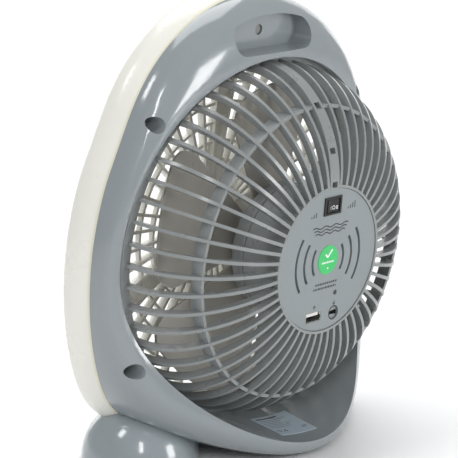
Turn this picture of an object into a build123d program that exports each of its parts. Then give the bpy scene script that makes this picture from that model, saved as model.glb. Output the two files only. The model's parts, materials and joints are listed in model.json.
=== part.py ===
from build123d import *
import math
import os

os.makedirs("parts", exist_ok=True)

# A rechargeable table fan on three points: two ball feet in front and the rear tray's lip.
# Everything but the feet is modelled in the head frame: the fan axis is Y, the rear face of the
# hub is y = 0, +Z is up along the head, and the air leaves towards -Y. The head then leans back.

# ---------------------------------------------------------------- driving dimensions, mm
LEAN = 5.57                # backward lean of the head, degrees
COLLAR_R = 108.0           # inner wall of the rear shell round the grille
HUB_HEIGHT = COLLAR_R + 10 # hub centre above the floor
WALL = 2.4                 # moulded shell wall
CLEAR = 0.3                # clearance between pieces that must not bind
SNUG = 0.05                # radial running clearance of a pin or shaft

# outline of both shells, on the right half: circles as (centre x, centre z, radius)
CROWN = (0.0, 38.2, COLLAR_R - 4.6)
FLANK = (-57.7, -9.0, COLLAR_R + 67.0)
BASE = (0.0, 48.0, COLLAR_R + 61.5)
CORNER_SOFTNESS = 3.5      # rounds the corner between flank and base
CROWN_START = 110.0        # degrees from six o'clock over which the flank becomes the crown
CROWN_END = 142.0

SEAM_Y = -74.0             # parting plane of the two shells
SIDE_EDGE_Y = -60.0        # rear edge of the collar at three and nine o'clock
TOP_EDGE_Y = -50.0         # rear edge of the collar at twelve o'clock
LIP_Y = 5.0                # rear edge of the tray at six o'clock
SCOOP_ANGLE = 88.0         # degrees from six o'clock over which the tray rises
SCOOP_POWER = 1.2
SECTION_STEP = 7.5         # degrees between the loft sections of a shell

FRONT_Y = -97.0            # front face of the front shell
BULGE = 4.8                # how far the front shell swells past the seam outline
FRONT_OPENING_R = COLLAR_R - 5

# rear grille
HUB_R = 44.0
RIM_W = 1.6
DRUM_FRONT_R = HUB_R - 4.2
DRUM_FRONT_Y = -30.0
DRUM_WALL = 1.8
DOME_CENTRE_R = HUB_R - 4  # centre of the dome's elliptical meridian
DOME_REACH = COLLAR_R - 3 - DOME_CENTRE_R
DOME_DEPTH = 57.0
RIB_COUNT = 52
RIB_T = 2.0
RIB_DEPTH = 4.5
SPINE_W = 8.0
STRIP_R = 86.0
STRIP_LENGTH = 8.0
STRIP_T = 2.0
GRILLE_RING_W = 4.0
GRILLE_RING_L = 9.0

# hub plate
PLATE_T = 2.0
PLATE_INSET = 0.6
SLOT_RADII = (27.9, 20.7, 13.5)
SLOT_W = 1.8
SLOT_SPAN = 68.0
STICKER_R = 8.6
STICKER_T = 0.25
PLATE_FRONT = -PLATE_INSET - PLATE_T
PLATE_R = HUB_R - RIM_W - CLEAR

# switch, ports and light on the hub plate
SWITCH_Z = 32.2
SWITCH_W = 14.9
SWITCH_H = 10.6
SWITCH_DEPTH = 11.0
ROCKER_R = 5.6
ROCKER_H = 7.4
ROCKER_TILT = 10.0
ROCKER_PIVOT_Y = -3.0
ROCKER_CROWN = 3.2         # height of the rocker's ends above its pivot
PIVOT_R = 0.9
PIVOT_L = 0.9
USB_AT = (8.7, -33.0)
USB_W = 13.1
USB_H = 5.7
PORT_AT = (-8.9, -33.4)
PORT_W = 7.6
PORT_H = 2.9
PORT_RECESS_R = 4.0
LIGHT_AT = (-9.0, -21.2)
LIGHT_R = 1.5
BOARD_Y = -18.2
BOARD_T = 1.6
BOARD_TOP_Z = -11.0
POST_AT = (24.0, -20.0)
POST_R = 3.0

# battery and motor
CELL_R = 9.2
CELL_L = 65.0
CELL_Y = -18.8
COVER_R = HUB_R - 7
COVER_SHOULDER_Y = -41.5
NOSE_R = 18.6
MOTOR_R = 16.0
MOTOR_REAR_Y = -33.6
MOTOR_FRONT_Y = -51.5
NOSE_Y = -53.9
COVER_SCREW_AT = HUB_R - 13.5  # radius of the circle that the motor cover's screws stand on
COVER_SCREW_ANGLES = (45, 135, 225, 315)
COVER_BOSS_REAR_Y = -20.6
MOTOR_SCREW_X = 8.5
LEAD_R = 0.7
CAN_T = 1.0
SHAFT_R = 1.5
BUSH_R = 4.0
CORE_R = 11.4
MAGNET_T = 2.6
COMMUTATOR_R = 3.2
BRUSH_GAP = 0.35

# impeller
BLADE_COUNT = 5
TIP_R = COLLAR_R - 14
IMPELLER_HUB_R = 27.0
IMPELLER_HUB_REAR_Y = -45.0
IMPELLER_HUB_FRONT_Y = -65.0
BLADE_HALF_ANGLE = 28.0
BLADE_T = 1.7
BLADE_REAR_Y = -45.0       # rear edge of a blade at its tip
BLADE_FRONT_Y = -60.5      # front edge of a blade at its tip
BLADE_CAMBER = 4.0
TIP_CORNER_R = 15.0
FIRST_BLADE = 18.0         # degrees, where the first blade stands

# front grille
SLAT_COUNT = 40
SLAT_T = 2.0
SLAT_DEPTH = 5.0
GRILLE_RIM_Y = -90.0
GRILLE_CENTRE_Y = -96.0
RING_PITCH = 12.0
RING_T = 1.8
SPOKE_W = 13.0
SPOKE_T = 2.5
SPOKE_PROUD = 0.3
FRONT_HUB_R = 26.0
FRONT_HUB_PROUD = 0.4      # how far the hub disc stands in front of the slats

# handle pocket in the top of the rear shell
POCKET_W = 65.0
POCKET_H = 21.0
POCKET_Z = COLLAR_R + 13.5
POCKET_FLOOR_Y = -66.0
POCKET_CORNER_R = 8.0
POCKET_MARGIN = 9.4        # from the pocket's upper edge to the crown

# shell screws, as distance from the fan axis and degrees above the horizontal
UPPER_SCREW = (COLLAR_R + 9.1, 41.7)
LOWER_SCREW = (COLLAR_R + 9.3, -31.5)
RECESS_R = 4.5
RECESS_FLOOR_Y = -71.5
BOSS_WALL = 1.8
WEB_T = 2.0
SCREW_R = 1.5
HEAD_R = 2.8
HEAD_H = 2.2

# feet, placed from the point on the floor below the hub centre
FOOT_X = COLLAR_R - 38
FOOT_Y = -83.0
FOOT_SCREW_SHIFT = 13.0    # how far in front of a foot's centre its screw stands
FOOT_SCREW_TOP = 34.0
FOOT_FLOOR_T = 3.0
FOOT_R = 34.5
PAD_T = 3.0
PAD_R = 29.0
PAD_PROUD = 1.0
FOOT_BOSS_R = 6.0

# rating label on the tray floor
LABEL_W = 27.0
LABEL_L = 30.0
LABEL_T = 0.25
LABEL_Y = -23.5
LABEL_TURN = -9.0

# ---------------------------------------------------------------- shared helpers
STAND = Pos(0, 0, HUB_HEIGHT) * Rot(-LEAN, 0, 0)
parts = {}


def keep(name, shape):
    """Remember a piece that is modelled in the standing frame."""
    parts[name] = shape


def keep_head(name, shape):
    """Remember a piece that is modelled in the head frame."""
    keep(name, STAND * shape)


def tube(radius, y0, y1, x=0.0, z=0.0):
    """Cylinder along Y between two planes."""
    low = min(y0, y1)
    solid = Cylinder(radius, abs(y1 - y0), align=(Align.CENTER, Align.CENTER, Align.MIN))
    return Pos(x, low, z) * Rot(-90, 0, 0) * solid


def ring(outer, inner, y0, y1, x=0.0, z=0.0):
    reach = 1.0
    return tube(outer, y0, y1, x, z) - tube(inner, min(y0, y1) - reach, max(y0, y1) + reach, x, z)


def block(x0, x1, y0, y1, z0, z1):
    solid = Box(x1 - x0, y1 - y0, z1 - z0)
    return Pos((x0 + x1) / 2, (y0 + y1) / 2, (z0 + z1) / 2) * solid


def turned(points):
    """Solid of revolution about the fan axis, from (radius, y) points."""
    face = make_face(Polyline(*[(r, y) for r, y in points], close=True))
    return revolve(face, Axis.Y)


def around(shape, angle):
    """The same shape, turned about the fan axis; +angle goes from +X towards +Z."""
    return Rot(0, -angle, 0) * shape


def mirrored(shape):
    return mirror(shape, Plane.YZ)


def circle_reach(ux, uz, cx, cz, radius):
    """Distance from the fan axis to a circle, in the direction (ux, uz)."""
    along = ux * cx + uz * cz
    return along + math.sqrt(along ** 2 - cx ** 2 - cz ** 2 + radius ** 2)


def outline_radius(angle):
    """Shell outline, by degrees from six o'clock."""
    ux = math.sin(math.radians(angle))
    uz = -math.cos(math.radians(angle))
    reaches = [circle_reach(ux, uz, *circle) for circle in (FLANK, BASE)]
    nearest = min(reaches)
    spread = sum(math.exp((nearest - reach) / CORNER_SOFTNESS) for reach in reaches)
    lower = nearest - CORNER_SOFTNESS * math.log(spread)
    t = min(1.0, max(0.0, (angle - CROWN_START) / (CROWN_END - CROWN_START)))
    share = t * t * (3 - 2 * t)
    return lower + (circle_reach(ux, uz, *CROWN) - lower) * share


def scoop(angle):
    """0 at the sides and top, 1 at the rear lip."""
    if angle >= SCOOP_ANGLE:
        return 0.0
    return (0.5 + 0.5 * math.cos(math.pi * angle / SCOOP_ANGLE)) ** SCOOP_POWER


def rear_edge(angle):
    """How far back the collar reaches, by degrees from six o'clock."""
    if angle > 90:
        return SIDE_EDGE_Y + (TOP_EDGE_Y - SIDE_EDGE_Y) * math.cos(math.radians(angle)) ** 2
    return SIDE_EDGE_Y + (LIP_Y - SIDE_EDGE_Y) * scoop(angle)


def half_plane(angle):
    """Plane through the fan axis: its x is the radius and its y is the head's y."""
    a = math.radians(angle)
    return Plane(origin=(0, 0, 0), x_dir=(math.sin(a), 0, -math.cos(a)), z_dir=(math.cos(a), 0, math.sin(a)))


def lofted_shell(section):
    """Loft a section round half the head and mirror it. section(angle) gives a closed face."""
    count = round(180 / SECTION_STEP)
    faces = [half_plane(SECTION_STEP * i) * section(SECTION_STEP * i) for i in range(count + 1)]
    half = loft(faces)
    return half + mirrored(half)


# ---------------------------------------------------------------- shells
def rear_skin(angle, inset):
    """Rear shell's outer curve, from the seam to the collar, moved in by inset."""
    outline = outline_radius(angle) - inset
    edge = rear_edge(angle) - inset
    inner = COLLAR_R + inset
    depth = edge - SEAM_Y
    width = outline - inner
    blunt = 0.58 + 0.32 * scoop(angle)
    return Bezier((outline, SEAM_Y), (outline, SEAM_Y + blunt * depth),
                  (inner + (blunt - 0.1) * width, edge), (inner, edge))


def rear_solid_section(angle):
    skin = rear_skin(angle, 0)
    inner = COLLAR_R
    return make_face(skin + Polyline(skin @ 1, (inner, SEAM_Y), skin @ 0))


def rear_hollow_section(angle):
    skin = rear_skin(angle, WALL)
    inner = COLLAR_R + WALL
    ahead = SEAM_Y - WALL
    outline = outline_radius(angle) - WALL
    rest = Polyline(skin @ 1, (inner, ahead), (outline, ahead), skin @ 0)
    return make_face(skin + rest)


def front_skin(angle, inset):
    """Front shell's outer curve, from the seam to the front face."""
    outline = outline_radius(angle)
    face_y = FRONT_Y + inset
    deep = SEAM_Y - FRONT_Y
    shoulder = outline - 12.0
    swell = BULGE * 1.6
    return Bezier((outline - inset, SEAM_Y), (outline + swell - inset, SEAM_Y - 0.45 * deep),
                  (outline + swell - inset, face_y), (shoulder, face_y))


def front_solid_section(angle):
    skin = front_skin(angle, 0)
    rest = Polyline(skin @ 1, (FRONT_OPENING_R, FRONT_Y), (FRONT_OPENING_R, SEAM_Y), skin @ 0)
    return make_face(skin + rest)


def front_hollow_section(angle):
    skin = front_skin(angle, WALL)
    inner = FRONT_OPENING_R + WALL
    behind = SEAM_Y + WALL
    outline = outline_radius(angle) - WALL
    rest = Polyline(skin @ 1, (inner, FRONT_Y + WALL), (inner, behind), (outline, behind), skin @ 0)
    return make_face(skin + rest)


REAR_BODY = lofted_shell(rear_solid_section)
REAR_HOLLOW = lofted_shell(rear_hollow_section)
FRONT_BODY = lofted_shell(front_solid_section)
FRONT_HOLLOW = lofted_shell(front_hollow_section)
SCREWS = []
for reach, angle in (UPPER_SCREW, LOWER_SCREW):
    for side in (1, -1):
        SCREWS.append((side * reach * math.cos(math.radians(angle)), reach * math.sin(math.radians(angle))))


def pocket(grow):
    """Handle pocket from its floor out through the rear face; grow thickens it all round."""
    crown = Pos(0, POCKET_Z - CROWN[1]) * Circle(CROWN[2] - POCKET_MARGIN + grow)
    outline = Rectangle(POCKET_W + 2 * grow, POCKET_H + 2 * grow) & crown
    outline = fillet(outline.vertices(), POCKET_CORNER_R + grow)
    depth = TOP_EDGE_Y + 10 - POCKET_FLOOR_Y + grow
    return Pos(0, POCKET_FLOOR_Y - grow, POCKET_Z) * Rot(-90, 0, 0) * extrude(outline, depth)


def rear_shell():
    bosses = Part() + [tube(RECESS_R + BOSS_WALL, SEAM_Y, LIP_Y, x, z) for x, z in SCREWS]
    bosses += tube(RECESS_R, SEAM_Y, POCKET_FLOOR_Y, 0, POCKET_Z)
    hollow = REAR_HOLLOW - pocket(WALL) - bosses
    shell = REAR_BODY - hollow - pocket(0)
    for x, z in SCREWS:
        shell -= tube(RECESS_R, RECESS_FLOOR_Y, LIP_Y + 10, x, z)
        shell -= tube(SCREW_R, SEAM_Y - 1, RECESS_FLOOR_Y + 1, x, z)
    shell -= tube(HEAD_R + CLEAR, POCKET_FLOOR_Y - HEAD_H - 1, POCKET_FLOOR_Y + 1, 0, POCKET_Z)
    shell -= tube(SCREW_R, SEAM_Y - 1, POCKET_FLOOR_Y, 0, POCKET_Z)
    floor = STAND.inverse() * block(-200, 200, -200, 200, -100, 0)
    return shell - floor


def front_shell():
    bosses = Part() + [tube(SCREW_R + BOSS_WALL, FRONT_Y, SEAM_Y, x, z) for x, z in SCREWS + [(0, POCKET_Z)]]
    for side in (1, -1):
        bosses += STAND.inverse() * foot_post(side, SCREW_R + BOSS_WALL, 0, FOOT_SCREW_TOP + 5)
    shell = FRONT_BODY - (FRONT_HOLLOW - bosses)
    for x, z in SCREWS + [(0, POCKET_Z)]:
        shell -= tube(SCREW_R, FRONT_Y + WALL, SEAM_Y + 1, x, z)
    for side in (1, -1):
        shell -= STAND.inverse() * foot_post(side, SCREW_R, -1, FOOT_SCREW_TOP)
    return shell


# ---------------------------------------------------------------- rear grille
def dome_band(inset, outset=0.0):
    """Face between two offset meridians of the dome, in (radius, y)."""
    outer = Ellipse(DOME_REACH + outset, DOME_DEPTH + outset)
    inner = Ellipse(DOME_REACH - inset, DOME_DEPTH - inset)
    band = Pos(DOME_CENTRE_R, -DOME_DEPTH) * (outer - inner)
    reach = DOME_CENTRE_R + DOME_REACH
    window = Rectangle(reach - DRUM_FRONT_R, DOME_DEPTH)
    window = Pos((DRUM_FRONT_R + reach) / 2 + 1, -DOME_DEPTH / 2) * window
    root = Pos(reach - inset / 2, -DOME_DEPTH - GRILLE_RING_L / 2) * Rectangle(inset, GRILLE_RING_L)
    return band & window, root


def meridian_rib(width, inset):
    band, root = dome_band(inset)
    rib = extrude(band, width / 2, both=True) + extrude(root, width / 2, both=True)
    return rib


def drum_radius(y):
    """Outer radius of the hub drum, which tapers forward."""
    return HUB_R + (DRUM_FRONT_R - HUB_R) * (y / DRUM_FRONT_Y)


def rear_grille():
    ring_front = -DOME_DEPTH - GRILLE_RING_L
    grille = ring(COLLAR_R - SNUG, COLLAR_R - GRILLE_RING_W - RIB_DEPTH / 2, ring_front, -DOME_DEPTH - 2)
    drum = [(HUB_R, 0), (DRUM_FRONT_R, DRUM_FRONT_Y), (DRUM_FRONT_R - DRUM_WALL, DRUM_FRONT_Y),
            (HUB_R - RIM_W - DRUM_WALL, -PLATE_INSET - PLATE_T), (HUB_R - RIM_W, -PLATE_INSET - PLATE_T),
            (HUB_R - RIM_W, 0)]
    grille += turned(drum)
    for angle in COVER_SCREW_ANGLES:
        boss = tube(3.0, DRUM_FRONT_Y, COVER_BOSS_REAR_Y, COVER_SCREW_AT, 0)
        boss += block(COVER_SCREW_AT, DRUM_FRONT_R - DRUM_WALL / 2, DRUM_FRONT_Y, COVER_BOSS_REAR_Y, -1, 1)
        grille += around(boss - tube(SCREW_R, -40, 0, COVER_SCREW_AT, 0), angle)
    drop = math.sqrt(1 - ((STRIP_R - DOME_CENTRE_R) / DOME_REACH) ** 2)
    strip_y = -DOME_DEPTH + DOME_DEPTH * drop - RIB_DEPTH / 4
    grille += ring(STRIP_R + STRIP_T / 2, STRIP_R - STRIP_T / 2, strip_y - STRIP_LENGTH, strip_y)
    rib = meridian_rib(RIB_T, RIB_DEPTH)
    spine = meridian_rib(SPINE_W, RIB_DEPTH)
    pitch = 360 / RIB_COUNT
    ribs = [around(rib, 90 + pitch * i) for i in range(1, RIB_COUNT)]
    grille = grille + ribs + around(spine, 90)
    grille -= tube(HUB_R - RIM_W, PLATE_FRONT, 5)
    notch_w = SPINE_W * 0.55
    for radius in (63.5, 86.8, HUB_R + 0.5):
        grille -= block(-notch_w / 2, notch_w / 2, -30, 2, radius - 1.6, radius + 1.6)
    return grille


# ---------------------------------------------------------------- hub plate and its fittings
def arc_slot(radius, side):
    low = PLATE_INSET + PLATE_T + 2
    band = ring(radius + SLOT_W / 2, radius - SLOT_W / 2, -low, 1)
    half = SLOT_SPAN / 2
    reach = radius * 2
    wedge_face = make_face(Polyline((0, 0), (reach, reach * math.tan(math.radians(half))),
                                    (reach, -reach * math.tan(math.radians(half))), close=True))
    wedge = Pos(0, 1, 0) * Rot(90, 0, 0) * extrude(wedge_face, low + 1)
    return Rot(0, 0 if side > 0 else 180, 0) * (band & wedge)


def hub_plate():
    plate = tube(PLATE_R, PLATE_FRONT, -PLATE_INSET)
    for radius in SLOT_RADII:
        plate -= arc_slot(radius, 1)
        plate -= arc_slot(radius, -1)
    hw = SWITCH_W / 2 - 0.6
    hh = SWITCH_H / 2 - 0.6
    plate -= block(-hw, hw, -10, 1, SWITCH_Z - hh, SWITCH_Z + hh)
    hw = USB_W / 2 + 0.1
    hh = USB_H / 2 + 0.1
    plate -= block(USB_AT[0] - hw, USB_AT[0] + hw, -10, 1, USB_AT[1] - hh, USB_AT[1] + hh)
    plate -= tube(PORT_RECESS_R, -PLATE_INSET - 0.8, 1, *PORT_AT)
    hw = PORT_W / 2 + 0.1
    hh = PORT_H / 2 + 0.1
    plate -= block(PORT_AT[0] - hw, PORT_AT[0] + hw, -10, 1, PORT_AT[1] - hh, PORT_AT[1] + hh)
    plate -= tube(LIGHT_R + 0.1, -10, 1, *LIGHT_AT)
    for side in (1, -1):
        post = tube(POST_R, BOARD_Y + BOARD_T, PLATE_FRONT, side * POST_AT[0], POST_AT[1])
        plate += post - tube(1.0, BOARD_Y, PLATE_FRONT - 4, side * POST_AT[0], POST_AT[1])
    return plate


def rocker_profile():
    """Rocker seen along its pivot: a disc with a shallow V cut across its crown."""
    end_x = math.sqrt(ROCKER_R ** 2 - ROCKER_CROWN ** 2)
    valley = ROCKER_CROWN - end_x * math.tan(math.radians(ROCKER_TILT))
    top = ROCKER_R + 1
    cut = make_face(Polyline((0, valley), (end_x, ROCKER_CROWN), (top, ROCKER_CROWN + 0.1), (top, top),
                             (-top, top), (-top, ROCKER_CROWN + 0.1), (-end_x, ROCKER_CROWN), close=True))
    return Circle(ROCKER_R) - cut


def rocker_button():
    body = Pos(0, ROCKER_PIVOT_Y, SWITCH_Z) * extrude(rocker_profile(), ROCKER_H / 2, both=True)
    pin = Cylinder(PIVOT_R, ROCKER_H + 2 * PIVOT_L)
    return body + Pos(0, ROCKER_PIVOT_Y, SWITCH_Z) * pin


def rocker_housing():
    z0 = SWITCH_Z - SWITCH_H / 2
    z1 = SWITCH_Z + SWITCH_H / 2
    x1 = SWITCH_W / 2
    top = ROCKER_PIVOT_Y + ROCKER_CROWN
    bezel = block(-x1, x1, -PLATE_INSET, top, z0, z1)
    body_x = x1 - 0.7
    body_z = SWITCH_H / 2 - 0.7
    body = block(-body_x, body_x, -SWITCH_DEPTH, -PLATE_INSET, SWITCH_Z - body_z, SWITCH_Z + body_z)
    well_r = ROCKER_R + CLEAR
    well_h = ROCKER_H / 2 + CLEAR
    well = Pos(0, ROCKER_PIVOT_Y, SWITCH_Z) * Cylinder(well_r, 2 * well_h)
    mouth = block(-well_r, well_r, ROCKER_PIVOT_Y, top + 1, SWITCH_Z - well_h, SWITCH_Z + well_h)
    bore = Pos(0, ROCKER_PIVOT_Y, SWITCH_Z) * Cylinder(PIVOT_R + SNUG, ROCKER_H + 2 * PIVOT_L + CLEAR)
    return bezel + body - well - mouth - bore


def rocker_terminals():
    blades = []
    for x in (-4.0, 0.0, 4.0):
        blades.append(block(x - 0.9, x + 0.9, -SWITCH_DEPTH - 4.5, -SWITCH_DEPTH,
                            SWITCH_Z - 0.3, SWITCH_Z + 0.3))
    return Compound(children=blades)


def socket_shell(at, width, height, wall, y0, y1):
    """Sheet-metal sleeve of a connector, open towards the rear."""
    x, z = at
    sleeve = block(x - width / 2, x + width / 2, y0, y1, z - height / 2, z + height / 2)
    w = width / 2 - wall
    h = height / 2 - wall
    return sleeve - block(x - w, x + w, y0 + wall, y1 + 1, z - h, z + h)


def connectors():
    board_rear = BOARD_Y + BOARD_T
    wall = 0.3
    keep_head("usb_shell", socket_shell(USB_AT, USB_W, USB_H, wall, board_rear, -PLATE_INSET - 0.2))
    x, z = USB_AT
    tongue_h = 1.9
    tongue_top = z + USB_H / 2 - wall - 0.5
    tongue = block(x - 5.6, x + 5.6, board_rear + wall, -2.2, tongue_top - tongue_h, tongue_top)
    keep_head("usb_tongue", tongue)
    keep_head("charge_port", socket_shell(PORT_AT, PORT_W, PORT_H, wall, board_rear, -PLATE_INSET - 0.9))
    x, z = PORT_AT
    keep_head("charge_tongue", block(x - 2.2, x + 2.2, board_rear + wall, -2.6, z - 0.35, z + 0.35))
    x, z = LIGHT_AT
    lamp = tube(LIGHT_R, -6.0, -PLATE_INSET - 0.2, x, z) + tube(LIGHT_R + 0.4, -6.0, -5.0, x, z)
    for side in (-0.9, 0.9):
        lamp += block(x + side - 0.25, x + side + 0.25, board_rear, -5.5, z - 0.25, z + 0.25)
    keep_head("status_light", lamp)


def control_board():
    radius = drum_radius(BOARD_Y) - DRUM_WALL - 0.6
    board = tube(radius, BOARD_Y, BOARD_Y + BOARD_T) & block(-50, 50, -50, 10, -50, BOARD_TOP_Z)
    chips = [(-17.0, -27.0, 6.0, 4.0), (17.0, -27.0, 5.0, 5.0), (0.0, -20.0, 9.0, 4.0)]
    for x, z, w, h in chips:
        board += block(x - w / 2, x + w / 2, BOARD_Y - 1.5, BOARD_Y, z - h / 2, z + h / 2)
    for side in (1, -1):
        board -= tube(1.4, -30, 0, side * POST_AT[0], POST_AT[1])
    return board


def board_screws():
    screws = []
    for side in (1, -1):
        x = side * POST_AT[0]
        z = POST_AT[1]
        screw = tube(2.4, BOARD_Y - 1.6, BOARD_Y, x, z) + tube(1.0, BOARD_Y - 0.5, BOARD_Y + 6, x, z)
        screws.append(screw)
    return Compound(children=screws)


# ---------------------------------------------------------------- battery
def battery_cell():
    cell = Pos(0, CELL_Y, 0) * Rot(0, 90, 0) * Cylinder(CELL_R, CELL_L)
    return cell


def battery_cradle():
    outer = CELL_R + 1.9
    half = CELL_L / 2
    sleeve = Pos(0, CELL_Y, 0) * Rot(0, 90, 0) * (Cylinder(outer, CELL_L) - Cylinder(CELL_R, CELL_L + 2))
    front_half = block(-half, half, CELL_Y - outer, CELL_Y, -outer, outer)
    cradle = sleeve & front_half
    for x in (-20.0, 20.0):
        leg = block(x - 5, x + 5, DRUM_FRONT_Y - 0.6, CELL_Y - CELL_R - 0.4, -5, 5)
        cradle += leg - Pos(0, CELL_Y, 0) * Rot(0, 90, 0) * Cylinder(CELL_R, CELL_L + 2)
    return cradle


# ---------------------------------------------------------------- motor and its cover
COVER_REAR_Y = DRUM_FRONT_Y - 0.6
COVER_WALL = 2.0
COVER_SEAT_Y = COVER_REAR_Y - 2 * COVER_WALL


def motor_cover():
    outer = [(0, COVER_REAR_Y), (DRUM_FRONT_R, COVER_REAR_Y), (DRUM_FRONT_R, COVER_REAR_Y - 1.8),
             (COVER_R, COVER_REAR_Y - 2.6), (COVER_R - 0.5, COVER_SHOULDER_Y),
             (COVER_R - 2.5, COVER_SHOULDER_Y - 2), (NOSE_R + 1.5, COVER_SHOULDER_Y - 4),
             (NOSE_R, COVER_SHOULDER_Y - 5), (NOSE_R, NOSE_Y), (0, NOSE_Y)]
    wall = COVER_WALL
    inner = [(0, COVER_REAR_Y - wall), (COVER_R - wall, COVER_REAR_Y - wall),
             (COVER_R - wall - 0.5, COVER_SHOULDER_Y - 0.5), (MOTOR_R + 0.15, COVER_SHOULDER_Y - 1.5),
             (MOTOR_R + 0.15, MOTOR_FRONT_Y), (0, MOTOR_FRONT_Y)]
    cover = turned(outer) - turned(inner)
    cover -= tube(BUSH_R + 0.1, NOSE_Y - 1, MOTOR_FRONT_Y + 1)
    cover -= tube(MOTOR_R + 0.15, COVER_REAR_Y - wall - 1, COVER_REAR_Y + 1)
    for side in (1, -1):
        cover -= tube(1.3, NOSE_Y - 1, MOTOR_FRONT_Y + 1, side * MOTOR_SCREW_X, 0)
    for angle in COVER_SCREW_ANGLES:
        column = tube(HEAD_R + CLEAR + 1.2, COVER_SHOULDER_Y - 1, COVER_REAR_Y - 1, COVER_SCREW_AT, 0)
        cover += around(column, angle)
        cover -= around(tube(HEAD_R + CLEAR, COVER_SHOULDER_Y - 10, COVER_SEAT_Y, COVER_SCREW_AT, 0), angle)
        cover -= around(tube(SCREW_R, COVER_SEAT_Y - 1, COVER_REAR_Y + 1, COVER_SCREW_AT, 0), angle)
    return cover


def cover_screws():
    screws = []
    for angle in COVER_SCREW_ANGLES:
        head = tube(HEAD_R, COVER_SEAT_Y - HEAD_H, COVER_SEAT_Y, COVER_SCREW_AT, 0)
        shank = tube(SCREW_R, COVER_SEAT_Y - 1, COVER_BOSS_REAR_Y - 1, COVER_SCREW_AT, 0)
        screws.append(around(head + shank, angle))
    return Compound(children=screws)


def motor_screws():
    screws = []
    for side in (1, -1):
        x = side * MOTOR_SCREW_X
        screws.append(tube(2.2, NOSE_Y - 1.6, NOSE_Y, x, 0) + tube(1.3, NOSE_Y - 1, MOTOR_FRONT_Y + 2, x, 0))
    return Compound(children=screws)


def motor():
    can = ring(MOTOR_R, MOTOR_R - CAN_T, MOTOR_FRONT_Y, MOTOR_REAR_Y)
    can += ring(MOTOR_R - CAN_T / 2, BUSH_R, MOTOR_FRONT_Y, MOTOR_FRONT_Y + CAN_T)
    for side in (1, -1):
        can -= tube(1.3, MOTOR_FRONT_Y - 1, MOTOR_FRONT_Y + 2, side * MOTOR_SCREW_X, 0)
    keep_head("motor_can", can)
    cap_front = MOTOR_REAR_Y
    cap = ring(MOTOR_R - CAN_T, BUSH_R, cap_front - 1.2, cap_front)
    cap += ring(MOTOR_R, BUSH_R, cap_front, cap_front + 1.6)
    keep_head("motor_end_cap", cap)
    bore = SHAFT_R + SNUG
    keep_head("front_bushing", ring(BUSH_R, bore, MOTOR_FRONT_Y - 2.2, MOTOR_FRONT_Y + 2.0))
    keep_head("rear_bushing", ring(BUSH_R, bore, cap_front - 2.0, cap_front + 1.6))
    magnet = ring(MOTOR_R - CAN_T, MOTOR_R - CAN_T - MAGNET_T, MOTOR_FRONT_Y + 3, MOTOR_REAR_Y - 4)
    side = block(4, 20, -60, -30, -20, 20)
    keep_head("motor_magnets", Compound(children=[magnet & side, magnet & mirrored(side)]))
    reach = COMMUTATOR_R + BRUSH_GAP
    brush = block(reach, reach + 5, cap_front - 4.3, cap_front - 2.3, -1.4, 1.4)
    brush += block(reach + 2, reach + 5, cap_front - 2.4, cap_front - 1.2, -1.4, 1.4)
    keep_head("motor_brushes", Compound(children=[brush, mirrored(brush)]))


def armature():
    core_front = MOTOR_FRONT_Y + 4.5
    core_rear = MOTOR_REAR_Y - 6.0
    core = ring(CORE_R, SHAFT_R, core_front, core_rear)
    winding_gap = 3.0
    windings = []
    for i in range(3):
        slot = block(4.5, CORE_R - 2.0, core_front - 1, core_rear + 1, -winding_gap, winding_gap)
        neck = block(CORE_R - 3, CORE_R + 1, core_front - 1, core_rear + 1, -0.8, 0.8)
        core -= around(slot, 60 + 120 * i)
        core -= around(neck, 60 + 120 * i)
        coil = block(4.7, CORE_R - 2.2, core_front - 1.2, core_rear + 1.0,
                     -winding_gap + 0.2, winding_gap - 0.2)
        windings.append(around(coil, 60 + 120 * i))
    keep_head("armature_core", core)
    keep_head("armature_windings", Compound(children=windings))
    keep_head("commutator", ring(COMMUTATOR_R, SHAFT_R, core_rear + 1.3, MOTOR_REAR_Y - 2.3))
    keep_head("motor_shaft", tube(SHAFT_R, IMPELLER_HUB_FRONT_Y - 5, MOTOR_REAR_Y + 1.0))


# ---------------------------------------------------------------- impeller
def blade_plan():
    """Plan of one blade seen along the axis: a sector with rounded tip corners."""
    a = math.radians(BLADE_HALF_ANGLE)
    root = IMPELLER_HUB_R - 2
    corner = (TIP_R * math.cos(a), TIP_R * math.sin(a))
    start = (root * math.cos(a), root * math.sin(a))
    lines = Line(start, corner) + ThreePointArc(corner, (TIP_R, 0), (corner[0], -corner[1]))
    lines += Line((corner[0], -corner[1]), (start[0], -start[1]))
    lines += Line((start[0], -start[1]), start)
    plan = make_face(lines)
    tips = plan.vertices().sort_by(Axis.X)[-2:]
    return fillet(tips, TIP_CORNER_R)


def blade():
    """Bent plate under the plan: it climbs from its rear edge to its front edge across the chord."""
    half_chord = TIP_R * math.sin(math.radians(BLADE_HALF_ANGLE))
    middle = (BLADE_REAR_Y + BLADE_FRONT_Y) / 2 + BLADE_CAMBER
    rear_end = Vector(BLADE_REAR_Y, -half_chord)
    front_end = Vector(BLADE_FRONT_Y, half_chord)
    run = (front_end - rear_end).normalized()
    side = Vector(-run.Y, run.X) * BLADE_T
    stretch = run * 4
    lower = ThreePointArc(rear_end - stretch, Vector(middle, 0), front_end + stretch)
    upper = ThreePointArc(rear_end - stretch + side, Vector(middle, 0) + side, front_end + stretch + side)
    strip = make_face(lower + Line(lower @ 1, upper @ 1) + upper + Line(upper @ 0, lower @ 0))
    plane = Plane(origin=(0, 0, 0), x_dir=(0, 1, 0), z_dir=(1, 0, 0))
    plate = extrude(plane * strip, TIP_R + 5)
    prism = Pos(0, IMPELLER_HUB_FRONT_Y - 20, 0) * Rot(90, 0, 0) * extrude(blade_plan(), -60)
    return plate & prism


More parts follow.
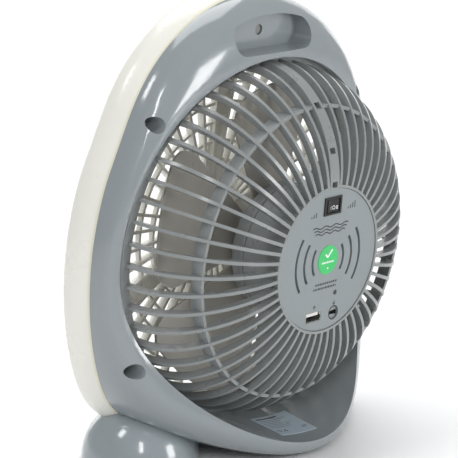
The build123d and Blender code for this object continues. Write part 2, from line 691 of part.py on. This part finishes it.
def impeller():
    wall = 2.0
    outer = [(0, IMPELLER_HUB_FRONT_Y), (IMPELLER_HUB_R - 6, IMPELLER_HUB_FRONT_Y),
             (IMPELLER_HUB_R - 1.5, IMPELLER_HUB_FRONT_Y + 2.5), (IMPELLER_HUB_R, IMPELLER_HUB_FRONT_Y + 7),
             (IMPELLER_HUB_R, IMPELLER_HUB_REAR_Y - 4), (0, IMPELLER_HUB_REAR_Y - 4)]
    hub = turned(outer)
    hub -= tube(IMPELLER_HUB_R - wall, IMPELLER_HUB_FRONT_Y + 5, 0)
    hub += tube(5.0, IMPELLER_HUB_FRONT_Y, NOSE_Y - 2.8)
    one = blade()
    pitch = 360 / BLADE_COUNT
    wheel = hub
    keep_out = tube(IMPELLER_HUB_R - wall / 2, -100, 0)
    for i in range(BLADE_COUNT):
        wheel += around(one - keep_out, FIRST_BLADE + pitch * i)
    return wheel - tube(SHAFT_R, -100, 0)


def impeller_nut():
    nut = tube(4.5, IMPELLER_HUB_FRONT_Y - 4.0, IMPELLER_HUB_FRONT_Y)
    return nut - tube(SHAFT_R, -100, 0)


# ---------------------------------------------------------------- front grille
def front_arch(depth):
    """Meridian of the domed front grille, in (radius, y), and the radius of its arc."""
    sag = GRILLE_RIM_Y - GRILLE_CENTRE_Y
    rim = FRONT_OPENING_R - 1
    radius = (rim ** 2 + sag ** 2) / (2 * sag)
    centre_y = GRILLE_CENTRE_Y + radius
    mid = rim / 2
    mid_y = centre_y - math.sqrt(radius ** 2 - mid ** 2)
    low = ThreePointArc((0, GRILLE_CENTRE_Y), (mid, mid_y), (rim, GRILLE_RIM_Y))
    high = ThreePointArc((0, GRILLE_CENTRE_Y + depth), (mid, mid_y + depth), (rim, GRILLE_RIM_Y + depth))
    face = make_face(low + Line(low @ 1, high @ 1) + high + Line(high @ 0, low @ 0))
    return face, centre_y, radius


def front_grille():
    slat_face, centre_y, radius = front_arch(SLAT_DEPTH)
    slat = extrude(slat_face, SLAT_T / 2, both=True) - tube(FRONT_HUB_R - 1, -120, 0)
    spoke_face = front_arch(SPOKE_T)[0]
    spoke = extrude(spoke_face, SPOKE_W / 2, both=True) - tube(FRONT_HUB_R - 1, -120, 0)
    spoke = Pos(0, -SPOKE_PROUD, 0) * spoke
    rim_front = GRILLE_RIM_Y - 0.8
    grille = ring(FRONT_OPENING_R - SNUG, FRONT_OPENING_R - 2.6, rim_front, GRILLE_RIM_Y + 7)
    hub_y = centre_y - math.sqrt(radius ** 2 - FRONT_HUB_R ** 2) - FRONT_HUB_PROUD
    grille += tube(FRONT_HUB_R, hub_y, hub_y + SLAT_DEPTH - 0.6)
    pitch = 360 / SLAT_COUNT
    grille += [around(slat, pitch * (i + 0.5)) for i in range(SLAT_COUNT)]
    grille += [around(spoke, angle) for angle in (90, 210, 330)]
    ring_r = FRONT_HUB_R + RING_PITCH
    while ring_r < FRONT_OPENING_R - RING_PITCH / 2:
        y = centre_y - math.sqrt(radius ** 2 - ring_r ** 2)
        grille += ring(ring_r + RING_T / 2, ring_r - RING_T / 2, y + 0.6, y + 3.6)
        ring_r += RING_PITCH
    return grille


def front_cap():
    slat_face, centre_y, radius = front_arch(SLAT_DEPTH)
    hub_y = centre_y - math.sqrt(radius ** 2 - FRONT_HUB_R ** 2) - FRONT_HUB_PROUD
    r = FRONT_HUB_R
    return turned([(0, hub_y), (r - 1, hub_y), (r - 1, hub_y - 0.3), (r - 4, hub_y - 0.7), (0, hub_y - 0.9)])


# ---------------------------------------------------------------- wiring inside the hub
def wire(points, radius):
    """Round wire along straight runs with ball joints at its bends."""
    knots = [Vector(*point) for point in points]
    solid = Part()
    for a, b in zip(knots, knots[1:]):
        run = Plane(origin=(a + b) / 2, z_dir=b - a) * Cylinder(radius, (b - a).length)
        solid += run
    for knot in knots[1:-1]:
        solid += Pos(knot.X, knot.Y, knot.Z) * Sphere(radius)
    return solid


def battery_tabs():
    """Nickel strips from the ends of the cell to the board."""
    x = CELL_L / 2
    front = BOARD_Y - 0.3
    tab = block(x, x + 0.3, front - 4, front, -15, 3)
    tab += block(x - 3.5, x + 0.3, BOARD_Y - 0.3, BOARD_Y, -15, -12)
    return Compound(children=[tab, mirrored(tab)])


def motor_leads():
    cap_rear = MOTOR_REAR_Y + 1.6
    leads = []
    for x in (-6.0, 6.0):
        leads.append(tube(LEAD_R, cap_rear, BOARD_Y, x, -13.2))
    return Compound(children=leads)


def switch_leads():
    """From the rocker's terminals, behind the cell, down to the rear face of the board."""
    solder_y = -SWITCH_DEPTH - 2.5
    behind_cell = CELL_Y + CELL_R + 3.2
    board_rear = BOARD_Y + BOARD_T
    leads = []
    for x in (-4.0, 0.0, 4.0):
        points = [(x, solder_y, SWITCH_Z - 0.3), (x, solder_y, CELL_R + 8),
                  (x, behind_cell - 2, CELL_R + 2), (x, behind_cell, CELL_R - 3),
                  (x, behind_cell, 2 - CELL_R), (x, behind_cell - 3, -CELL_R - 2),
                  (x, board_rear + LEAD_R, -CELL_R - 5)]
        leads.append(wire(points, LEAD_R))
    return Compound(children=leads)


# ---------------------------------------------------------------- fasteners
def along_axis_screw(x, z, head_y, length):
    """Self-tapping screw pointing forward, its head's underside at head_y."""
    return tube(HEAD_R, head_y, head_y + HEAD_H, x, z) + tube(SCREW_R, head_y - length, head_y + 0.2, x, z)


def shell_screws():
    screws = [along_axis_screw(x, z, RECESS_FLOOR_Y, 14) for x, z in SCREWS]
    pocket_head = POCKET_FLOOR_Y - HEAD_H - 1
    screws.append(along_axis_screw(0, POCKET_Z, pocket_head, 14))
    return Compound(children=screws)


# ---------------------------------------------------------------- feet
def foot_post(side, radius, z0, z1):
    """Upright cylinder on the line of a foot's screw, in the standing frame."""
    post = Cylinder(radius, z1 - z0, align=(Align.CENTER, Align.CENTER, Align.MIN))
    return Pos(side * FOOT_X, FOOT_Y - FOOT_SCREW_SHIFT, z0) * post


def foot(side):
    """Half ball under a front corner, hollow, cut to the shells it carries."""
    centre = Pos(side * FOOT_X, FOOT_Y, 0)
    dome = (centre * Sphere(FOOT_R)) & (centre * block(-FOOT_R, FOOT_R, -FOOT_R, FOOT_R, PAD_PROUD, FOOT_R))
    floor = PAD_T + WALL
    above_floor = centre * block(-FOOT_R, FOOT_R, -FOOT_R, FOOT_R, floor, FOOT_R)
    inner = (centre * Sphere(FOOT_R - WALL)) & above_floor
    half_web = WEB_T / 2
    long_web = block(-half_web, half_web, -FOOT_R, FOOT_R, PAD_T, FOOT_R)
    cross_web = block(-FOOT_R, FOOT_R, -half_web, half_web, PAD_T, FOOT_R)
    webs = centre * long_web + centre * Pos(0, -FOOT_SCREW_SHIFT, 0) * cross_web
    hollow = inner - foot_post(side, FOOT_BOSS_R, PAD_T, FOOT_R) - webs
    seat = centre * Cylinder(PAD_R, 2 * PAD_T)
    head_way = foot_post(side, HEAD_R + CLEAR, -1, PAD_T + FOOT_FLOOR_T)
    screw_way = head_way + foot_post(side, SCREW_R, -1, FOOT_SCREW_TOP)
    solid = dome - STAND * REAR_BODY - STAND * FRONT_BODY
    return solid - hollow - seat - screw_way


def foot_pad(side):
    centre = Pos(side * FOOT_X, FOOT_Y, 0)
    return centre * Cylinder(PAD_R, PAD_T, align=(Align.CENTER, Align.CENTER, Align.MIN))


def foot_screws():
    screws = []
    for side in (1, -1):
        under_head = PAD_T + FOOT_FLOOR_T
        head = foot_post(side, HEAD_R, under_head - HEAD_H, under_head)
        screws.append(head + foot_post(side, SCREW_R, under_head - HEAD_H, FOOT_SCREW_TOP))
    return Compound(children=screws)


# ---------------------------------------------------------------- label and sticker
def rating_label():
    face = COLLAR_R - SNUG
    sheet = ring(face, face - LABEL_T, LABEL_Y - 40, LABEL_Y + 40)
    window = Pos(0, LABEL_Y, -COLLAR_R) * Rot(0, 0, LABEL_TURN) * Box(LABEL_W, LABEL_L, 12)
    return sheet & window


# ---------------------------------------------------------------- build and write
keep_head("rear_shell", rear_shell())
keep_head("front_shell", front_shell())
keep_head("rear_grille", rear_grille())
keep_head("hub_plate", hub_plate())
keep_head("rocker_housing", rocker_housing())
keep_head("rocker_button", rocker_button())
keep_head("rocker_terminals", rocker_terminals())
connectors()
keep_head("control_board", control_board())
keep_head("board_screws", board_screws())
keep_head("battery_cell", battery_cell())
keep_head("battery_cradle", battery_cradle())
keep_head("battery_tabs", battery_tabs())
keep_head("motor_leads", motor_leads())
keep_head("switch_leads", switch_leads())
keep_head("motor_cover", motor_cover())
keep_head("cover_screws", cover_screws())
keep_head("motor_screws", motor_screws())
motor()
armature()
keep_head("impeller", impeller())
keep_head("impeller_nut", impeller_nut())
keep_head("front_grille", front_grille())
keep_head("front_cap", front_cap())
keep_head("shell_screws", shell_screws())
keep("left_foot", foot(1))
keep("right_foot", mirrored(parts["left_foot"]))
keep("left_foot_pad", foot_pad(1))
keep("right_foot_pad", foot_pad(-1))
keep("foot_screws", foot_screws())
keep_head("rating_label", rating_label())
keep_head("round_sticker", tube(STICKER_R, -PLATE_INSET, -PLATE_INSET + STICKER_T))

boxes = [shape.bounding_box() for shape in parts.values()]
front = min(box.min.Y for box in boxes)
back = max(box.max.Y for box in boxes)
to_origin = Pos(0, -(front + back) / 2, 0)

for name, shape in parts.items():
    export_step(to_origin * shape, f"parts/{name}.step")
print("hub centre stands at y", round(-(front + back) / 2, 3), "z", HUB_HEIGHT)
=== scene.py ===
import json
import math
import random

import bmesh
import bpy
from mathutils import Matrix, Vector
from mathutils.bvhtree import BVHTree


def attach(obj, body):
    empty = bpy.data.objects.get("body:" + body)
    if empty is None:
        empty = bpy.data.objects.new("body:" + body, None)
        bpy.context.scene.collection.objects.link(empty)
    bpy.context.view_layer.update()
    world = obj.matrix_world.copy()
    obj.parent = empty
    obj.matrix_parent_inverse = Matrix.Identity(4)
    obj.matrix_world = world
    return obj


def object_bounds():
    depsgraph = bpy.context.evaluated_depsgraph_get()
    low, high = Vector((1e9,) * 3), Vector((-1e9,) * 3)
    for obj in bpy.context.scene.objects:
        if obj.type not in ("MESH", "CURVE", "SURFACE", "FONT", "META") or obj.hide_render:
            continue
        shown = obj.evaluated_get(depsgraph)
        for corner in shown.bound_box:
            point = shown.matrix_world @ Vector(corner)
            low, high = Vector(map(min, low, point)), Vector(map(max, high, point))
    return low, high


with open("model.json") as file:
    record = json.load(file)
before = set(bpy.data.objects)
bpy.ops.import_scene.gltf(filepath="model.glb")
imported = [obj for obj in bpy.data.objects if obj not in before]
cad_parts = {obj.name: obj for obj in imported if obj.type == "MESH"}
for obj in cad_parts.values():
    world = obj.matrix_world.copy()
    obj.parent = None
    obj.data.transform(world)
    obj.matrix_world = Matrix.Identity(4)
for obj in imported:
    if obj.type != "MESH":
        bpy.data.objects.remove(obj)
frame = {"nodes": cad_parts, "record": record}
lowest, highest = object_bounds()
record = frame["record"]
random.seed(11)

# ------------------------------------------------------------- the fan's own axes
JOINTS = {j["name"]: j for j in record["behaviour"]["joints"]}
AIR = Vector(JOINTS["fan_spin"]["axis"]).normalized()
HEAD_UP = Vector(JOINTS["rocker_tilt"]["axis"]).normalized()
HEAD_BACK = -AIR
HEAD_SIDE = HEAD_BACK.cross(HEAD_UP).normalized()
MM = 0.001
FAN_PIVOT_DEPTH = 50.0         # the fan's pivot lies this far in front of the hub's rear face
HUB = Vector(JOINTS["fan_spin"]["pos_m"]) + FAN_PIVOT_DEPTH * MM * HEAD_BACK
SEAM_Y = -74.0                 # where the front shell meets the rear shell


def head(x, y, z):
    """Point in the scene from millimetres sideways, backwards and up from the hub's rear centre."""
    return HUB + (x * HEAD_SIDE + y * HEAD_BACK + z * HEAD_UP) * MM


# ------------------------------------------------------------- materials
def node(tree, kind, **settings):
    """A new shader node with the settings given by name."""
    made = tree.nodes.new(kind)
    for key, value in settings.items():
        setattr(made, key, value)
    return made


def noise(tree, scale, detail=4.0, roughness=0.55, stretch=(1, 1, 1)):
    """Noise in metres of object space, with cells 1/scale metres across."""
    where = node(tree, "ShaderNodeTexCoord")
    mapping = node(tree, "ShaderNodeMapping")
    mapping.inputs["Scale"].default_value = stretch
    pattern = node(tree, "ShaderNodeTexNoise")
    pattern.inputs["Scale"].default_value = scale
    pattern.inputs["Detail"].default_value = detail
    pattern.inputs["Roughness"].default_value = roughness
    tree.links.new(where.outputs["Object"], mapping.inputs["Vector"])
    tree.links.new(mapping.outputs["Vector"], pattern.inputs["Vector"])
    return pattern.outputs["Fac"]


def span(tree, value, low, high, from_low=0.3, from_high=0.7):
    """The value carried over from one range to another, held at both ends."""
    ranged = node(tree, "ShaderNodeMapRange")
    ranged.inputs["From Min"].default_value = from_low
    ranged.inputs["From Max"].default_value = from_high
    ranged.inputs["To Min"].default_value = low
    ranged.inputs["To Max"].default_value = high
    tree.links.new(value, ranged.inputs["Value"])
    return ranged.outputs["Result"]


def mixed(tree, value, first, second):
    """A colour between two linear colours."""
    mix = node(tree, "ShaderNodeMix", data_type="RGBA")
    mix.inputs["A"].default_value = (*first, 1)
    mix.inputs["B"].default_value = (*second, 1)
    tree.links.new(value, mix.inputs["Factor"])
    return mix.outputs["Result"]


def linear(r, g, b):
    """Linear light of an 8-bit display colour."""
    return tuple((c / 255 / 12.92) if c <= 10 else ((c / 255 + 0.055) / 1.055) ** 2.4 for c in (r, g, b))


SEAM_LINE_FROM, SEAM_LINE_TO = 1.3, 0.6   # millimetres in front of the seam where the line fades in
SEAM_LINE_SHARE = 0.75
SEAM_LINE_TINT = (0.86, 0.82, 0.62)


def seam_line(tree, colour, base):
    """Creamy moulding line along the front shell's edge, where it meets the rear shell."""
    where = node(tree, "ShaderNodeTexCoord")
    along = node(tree, "ShaderNodeVectorMath", operation="DOT_PRODUCT")
    along.inputs[1].default_value = HEAD_BACK
    tree.links.new(where.outputs["Object"], along.inputs[0])
    edge = HUB.dot(HEAD_BACK) + SEAM_Y * MM
    near = span(tree, along.outputs["Value"], 0.0, SEAM_LINE_SHARE,
                edge - SEAM_LINE_FROM * MM, edge - SEAM_LINE_TO * MM)
    mix = node(tree, "ShaderNodeMix", data_type="RGBA")
    mix.inputs["B"].default_value = (*(c * tint for c, tint in zip(base, SEAM_LINE_TINT)), 1)
    tree.links.new(near, mix.inputs["Factor"])
    tree.links.new(colour, mix.inputs["A"])
    return mix.outputs["Result"]


def finish_of(name, colour, shade=0.94, rough=(0.3, 0.4), grain=900.0, grain_depth=0.02, patch=35.0,
              metal=0.0, coat=0.0, glow=0.0, scratch=0.0, through=0.0, seam=False):
    """A surface whose tone, roughness and fine relief all vary over it."""
    material = bpy.data.materials.new(name)
    material.use_nodes = True
    tree = material.node_tree
    surface = tree.nodes["Principled BSDF"]
    base = linear(*colour)
    darker = tuple(c * shade for c in base)
    tone = span(tree, noise(tree, patch, 5.0, 0.6), 0.0, 1.0)
    colour_now = mixed(tree, tone, darker, base)
    if seam:
        colour_now = seam_line(tree, colour_now, base)
    tree.links.new(colour_now, surface.inputs["Base Color"])
    wear = span(tree, noise(tree, patch * 3.1, 6.0, 0.65), rough[0], rough[1])
    if scratch:
        lines = span(tree, noise(tree, 60.0, 8.0, 0.75, (1, 14, 2)), 0.0, scratch, 0.62, 0.72)
        added = node(tree, "ShaderNodeMath", operation="ADD")
        tree.links.new(wear, added.inputs[0])
        tree.links.new(lines, added.inputs[1])
        wear = added.outputs["Value"]
    tree.links.new(wear, surface.inputs["Roughness"])
    relief = node(tree, "ShaderNodeBump")
    relief.inputs["Strength"].default_value = grain_depth
    relief.inputs["Distance"].default_value = 0.5 * MM
    tree.links.new(noise(tree, grain, 3.0, 0.5), relief.inputs["Height"])
    tree.links.new(relief.outputs["Normal"], surface.inputs["Normal"])
    surface.inputs["Metallic"].default_value = metal
    surface.inputs["Coat Weight"].default_value = coat
    surface.inputs["Coat Roughness"].default_value = 0.08
    surface.inputs["IOR"].default_value = 1.52
    if through:
        surface.inputs["Subsurface Weight"].default_value = through
        surface.inputs["Subsurface Radius"].default_value = (0.004, 0.0036, 0.003)
        surface.inputs["Subsurface Scale"].default_value = 0.6
    if glow:
        surface.inputs["Emission Color"].default_value = (*base, 1)
        surface.inputs["Emission Strength"].default_value = glow
    return material


FINISHES = {
    "front_plastic": finish_of("front_plastic", (238, 237, 229), 0.99, (0.26, 0.31), patch=12.0, coat=0.2,
                               seam=True),
    "rear_plastic": finish_of("rear_plastic", (145, 152, 155), 0.97, (0.12, 0.19), coat=0.5, scratch=0.05),
    "grille_grey": finish_of("grille_grey", (140, 144, 144), 0.95, (0.24, 0.36), coat=0.2, scratch=0.05),
    "plate_grey": finish_of("plate_grey", (140, 147, 149), 0.96, (0.38, 0.50), 1600.0, 0.10),
    "foot_grey": finish_of("foot_grey", (150, 159, 163), 0.96, (0.12, 0.20), coat=0.5, scratch=0.06),
    "fan_plastic": finish_of("fan_plastic", (160, 157, 149), 0.93, (0.26, 0.38), through=0.15),
    "black_plastic": finish_of("black_plastic", (15, 15, 17), 0.80, (0.36, 0.50), 1200.0, 0.04),
    "pad_rubber": finish_of("pad_rubber", (38, 38, 39), 0.80, (0.70, 0.85), 2200.0, 0.15),
    "screw_steel": finish_of("screw_steel", (150, 150, 148), 0.80, (0.30, 0.48), metal=1.0, scratch=0.1),
    "motor_steel": finish_of("motor_steel", (190, 190, 187), 0.86, (0.25, 0.42), metal=1.0, scratch=0.12),
    "magnet_ferrite": finish_of("magnet_ferrite", (52, 52, 55), 0.80, (0.45, 0.62), 1900.0, 0.12),
    "winding_copper": finish_of("winding_copper", (205, 116, 66), 0.80, (0.25, 0.40), metal=1.0),
    "contact_brass": finish_of("contact_brass", (214, 178, 108), 0.86, (0.24, 0.38), metal=1.0, scratch=0.1),
    "port_metal": finish_of("port_metal", (206, 206, 204), 0.86, (0.18, 0.32), metal=1.0, scratch=0.12),
    "board_green": finish_of("board_green", (32, 104, 60), 0.85, (0.30, 0.45)),
    "cell_wrap": finish_of("cell_wrap", (52, 96, 170), 0.90, (0.22, 0.34)),
    "tongue_white": finish_of("tongue_white", (232, 231, 226), 0.95, (0.35, 0.5)),
    "light_lens": finish_of("light_lens", (58, 61, 60), 0.85, (0.15, 0.25), through=0.3),
    "label_film": finish_of("label_film", (176, 190, 201), 0.97, (0.34, 0.46), 500.0, 0.03),
    "sticker_green": finish_of("sticker_green", (62, 196, 108), 0.95, (0.36, 0.48), 500.0, 0.03),
    "print_dark": finish_of("print_dark", (62, 66, 68), 0.85, (0.45, 0.60)),
    "print_light": finish_of("print_light", (238, 240, 238), 0.96, (0.40, 0.55)),
}

for part in record["subparts"]:
    mesh = frame["nodes"][part["node"]].data
    mesh.materials.clear()
    mesh.materials.append(FINISHES[part["material_slot"]])


# ------------------------------------------------------------- moulded edges on the CAD parts
# radius of each part's moulded edges, in millimetres
ROUNDED = {"rear_shell": 0.5, "front_shell": 0.5, "rear_grille": 0.45, "hub_plate": 0.25, "motor_cover": 0.5,
           "left_foot": 0.4, "right_foot": 0.4, "front_grille": 0.45, "front_cap": 0.5, "rocker_housing": 0.2,
           "rocker_button": 0.3, "usb_shell": 0.08, "charge_port": 0.08, "impeller": 0.3}
for name, edge in ROUNDED.items():
    part = frame["nodes"][name]
    weld = part.modifiers.new("weld", "WELD")
    weld.merge_threshold = 0.01 * MM
    bevel = part.modifiers.new("edges", "BEVEL")
    bevel.width = edge * MM
    bevel.segments = 2
    bevel.limit_method = "ANGLE"
    bevel.angle_limit = math.radians(32)
    bevel.use_clamp_overlap = True
    normals = part.modifiers.new("normals", "WEIGHTED_NORMAL")
    normals.keep_sharp = False
    for polygon in part.data.polygons:
        polygon.use_smooth = True


# ------------------------------------------------------------- printed marks
LIFT = 0.03                    # thickness of printed ink, in millimetres
SUNK = 0.01                    # how deep the ink starts below the surface
STROKE_STEP = 1.2              # longest straight piece of a stroke


def sheet_of(name, lines, width, place, finish, body, lift=LIFT):
    """Thin raised strokes: each line is a list of (across, up) points in millimetres on a placed surface."""
    made = bmesh.new()
    for line in lines:
        for (u0, v0), (u1, v1) in zip(line, line[1:]):
            length = math.hypot(u1 - u0, v1 - v0)
            along = ((u1 - u0) / length, (v1 - v0) / length)
            side = (-along[1] * width / 2, along[0] * width / 2)
            cuts = max(1, int(length / STROKE_STEP))
            rows = []
            for i in range(cuts + 1):
                u = u0 + (u1 - u0) * i / cuts
                v = v0 + (v1 - v0) * i / cuts
                corners = ((1, 0), (1, lift), (-1, lift), (-1, 0))
                row = [place(u + side[0] * k, v + side[1] * k, h) for k, h in corners]
                rows.append([made.verts.new(point) for point in row])
            for a, b in zip(rows, rows[1:]):
                for i in range(4):
                    made.faces.new((a[i], a[(i + 1) % 4], b[(i + 1) % 4], b[i]))
            made.faces.new(rows[0])
            made.faces.new(list(reversed(rows[-1])))
    bmesh.ops.recalc_face_normals(made, faces=made.faces)
    mesh = bpy.data.meshes.new(name)
    made.to_mesh(mesh)
    made.free()
    mesh.materials.append(FINISHES[finish])
    piece = bpy.data.objects.new(name, mesh)
    bpy.context.scene.collection.objects.link(piece)
    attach(piece, body)
    return piece


def circle(u, v, radius, steps=20):
    turns = [2 * math.pi * i / steps for i in range(steps + 1)]
    return [(u + radius * math.cos(t), v + radius * math.sin(t)) for t in turns]


def wave(u, v, length, height, swings, steps=24):
    points = []
    for i in range(steps + 1):
        t = i / steps
        points.append((u + length * (t - 0.5), v + height * math.sin(2 * math.pi * swings * t)))
    return points


def dash_row(u0, u1, v):
    """A row of short dashes like very small print."""
    row = []
    u = u0
    while u < u1:
        step = random.uniform(0.7, 2.2)
        row.append([(u, v), (min(u + step, u1), v)])
        u += step + 0.45
    return row


def speed_bars(u, v, count):
    """Upright bars that grow to the right, for a fan speed."""
    return [[(u + 1.9 * i, v), (u + 1.9 * i, v + 1.3 + 0.9 * i)] for i in range(count)]


def arrow(u, tail, tip):
    """Upright arrow whose shaft runs from tail to tip."""
    barb = tip - math.copysign(1.2, tip - tail)
    return [[(u, tail), (u, tip)], [(u - 1.1, barb), (u, tip), (u + 1.1, barb)]]


PLATE_Y = -0.6                 # the hub plate's rear face
INLET_AT = (8.9, -33.4)        # middle of the charging inlet, across and up
OUTLET_U = -8.7                # middle of the USB outlet, across


def on_plate(u, v, h):
    return head(-u, PLATE_Y - SUNK + h, v)


bold = [wave(0.0, 20.2 - 1.9 * i, 31.0 - 2.4 * i, 0.6, 3.5) for i in range(3)]
bold += speed_bars(-17.6, 27.0, 3) + speed_bars(14.4, 28.2, 4)
bold += [circle(*INLET_AT, 4.0, 32)]
sheet_of("plate_signs", bold, 0.8, on_plate, "print_dark", "housing")
warning = dash_row(-9.5, 9.5, -14.0) + dash_row(-11.0, 9.0, -16.6)
sheet_of("plate_warning", warning, 1.2, on_plate, "print_dark", "housing")
arrows = arrow(OUTLET_U, -28.8, -26.2) + arrow(INLET_AT[0], -26.0, -28.6)
sheet_of("plate_arrows", arrows, 0.6, on_plate, "print_dark", "housing")

STICKER_T = 0.25


def on_sticker(u, v, h):
    return head(-u, PLATE_Y + STICKER_T - SUNK + h, v)


seal = [[(-2.6, 3.6), (-0.6, 1.6), (3.2, 5.8)], [(-0.4, -5.0), (0.6, -5.0)]] + dash_row(-5.4, 5.2, -1.4)
sheet_of("sticker_tick", seal, 1.1, on_sticker, "print_light", "housing", 0.025)

TRAY_R = 108.0                 # inner radius of the rear tray, round the fan's axis
LABEL_GAP = 0.05
LABEL_T = 0.25
LABEL_R = TRAY_R - LABEL_GAP - LABEL_T
LABEL_MID_Y = -23.5
LABEL_TURN = math.radians(9.0)


def on_label(u, v, h):
    x = -u * math.cos(LABEL_TURN) - v * math.sin(LABEL_TURN)
    y = LABEL_MID_Y - v * math.cos(LABEL_TURN) + u * math.sin(LABEL_TURN)
    r = LABEL_R + SUNK - h
    return head(x, y, -math.sqrt(r * r - x * x))


title = [[(-11.5, 11.8), (4.0, 11.8)]]
sheet_of("label_title", title, 1.6, on_label, "print_dark", "housing")
rows = []
for i in range(6):
    rows += dash_row(-11.5, random.uniform(1.0, 9.5), 8.6 - 2.3 * i)
rows += [circle(-9.8, -8.6, 1.3), [(-6.6, -9.9), (-4.2, -9.9), (-5.4, -7.4), (-6.6, -9.9)]]
rows += [[(7.6, -7.4), (11.2, -7.4)], [(7.6, -9.0), (10.4, -9.0)]]
sheet_of("label_rows", rows, 0.5, on_label, "print_dark", "housing")

ROCKER = frame["nodes"]["rocker_button"].data
ROCKER_TREE = BVHTree.FromPolygons([v.co for v in ROCKER.vertices],
                                   [tuple(p.vertices) for p in ROCKER.polygons])


ROCKER_MARKS_UP = 31.0         # height of the rocker's marks above the fan's axis
LOOK_FROM = 20.0               # how far behind the hub the look at the rocker starts
LOOK_LENGTH = 50.0


def on_rocker(u, v, h):
    """Point on the rocker's face, found by a straight look at it from behind."""
    start = head(-u, LOOK_FROM, ROCKER_MARKS_UP + v)
    hit = ROCKER_TREE.ray_cast(start, AIR, LOOK_LENGTH * MM)[0]
    return hit + HEAD_BACK * (h - SUNK) * MM


speeds = [[(-1.6, -1.1), (-1.6, 1.1)], circle(0.9, 0, 1.0, 24)]
speeds += [[(2.9, -1.1), (2.9, 1.1)], [(3.7, -1.1), (3.7, 1.1)]]
sheet_of("rocker_marks", speeds, 0.34, on_rocker, "print_light", "rocker")

# ------------------------------------------------------------- camera
# the photograph's viewing angle, and the camera's place from the hub in metres
AZIMUTH, ELEVATION = math.radians(132.3), math.radians(12.56)
BACK = Vector((math.sin(AZIMUTH) * math.cos(ELEVATION), -math.cos(AZIMUTH) * math.cos(ELEVATION),
               math.sin(ELEVATION)))
RIGHT = Vector((math.cos(AZIMUTH), math.sin(AZIMUTH), 0))
UP = BACK.cross(RIGHT)
CAMERA_ACROSS, CAMERA_UP, CAMERA_BACK = -0.05692, 0.01769, 1.3459
camera_data = bpy.data.cameras.new("camera")
camera = bpy.data.objects.new("camera", camera_data)
bpy.context.scene.collection.objects.link(camera)
camera_data.sensor_width = 36.0
camera_data.lens = 185.39
camera_data.clip_start = 0.05
camera_data.clip_end = 20.0
camera.location = HUB + CAMERA_ACROSS * RIGHT + CAMERA_UP * UP + CAMERA_BACK * BACK
camera.rotation_mode = "QUATERNION"
camera.rotation_quaternion = BACK.to_track_quat("Z", "Y")
bpy.context.scene.camera = camera

# ------------------------------------------------------------- studio
MIDDLE = Vector((0, 0, 0.13))  # middle of the fan, in metres
LIGHTS_AIM = Vector((0, 0, 0.12))
FLOOR_SIZE = 12.0
BACKDROP_SIZE = 2.8
BACKDROP_DISTANCE = 1.9


def softbox(name, place, width, height, power):
    """Rectangular studio light that looks at the fan; sizes in metres, power in watts."""
    lamp = bpy.data.lights.new(name, "AREA")
    lamp.shape = "RECTANGLE"
    lamp.size = width
    lamp.size_y = height
    lamp.energy = power
    made = bpy.data.objects.new(name, lamp)
    bpy.context.scene.collection.objects.link(made)
    made.location = place
    made.rotation_mode = "QUATERNION"
    made.rotation_quaternion = (place - LIGHTS_AIM).to_track_quat("Z", "Y")


def studio(right, up, back):
    """A place given in the camera's own directions from the middle of the fan, in metres."""
    return MIDDLE + right * RIGHT + up * Vector((0, 0, 1)) + back * BACK


softbox("top_box", studio(-0.1, 1.5, -0.5), 1.1, 1.1, 12)
softbox("right_box", studio(1.32, 0.12, 0.68), 0.42, 0.62, 8)
softbox("front_box", studio(0.05, 0.62, 1.85), 0.26, 0.75, 8)
softbox("left_box", studio(-0.96, 1.08, 0.63), 0.32, 0.42, 4.6)

world = bpy.data.worlds.new("studio")
bpy.context.scene.world = world
world.use_nodes = True
world.node_tree.nodes["Background"].inputs["Color"].default_value = (0.97, 0.98, 1.0, 1)
world.node_tree.nodes["Background"].inputs["Strength"].default_value = 0.38

bpy.ops.mesh.primitive_plane_add(size=FLOOR_SIZE, location=(0, 0, lowest.z - 0.2 * MM))
floor = bpy.context.active_object
floor.name = "floor"
floor.data.materials.append(finish_of("floor_sweep", (250, 250, 250), 0.99, (0.45, 0.55), 300.0, 0.01, 2.0))

level_back = Vector((BACK.x, BACK.y, 0))
bpy.ops.mesh.primitive_plane_add(size=BACKDROP_SIZE, location=-BACKDROP_DISTANCE * level_back)
backdrop = bpy.context.active_object
backdrop.name = "backdrop"
backdrop.rotation_mode = "QUATERNION"
backdrop.rotation_quaternion = level_back.to_track_quat("Z", "Y")
backdrop.data.materials.append(finish_of("backdrop_white", (255, 255, 255), 1.0, (0.9, 1.0), glow=1.0))

bpy.context.scene.view_settings.view_transform = "Standard"
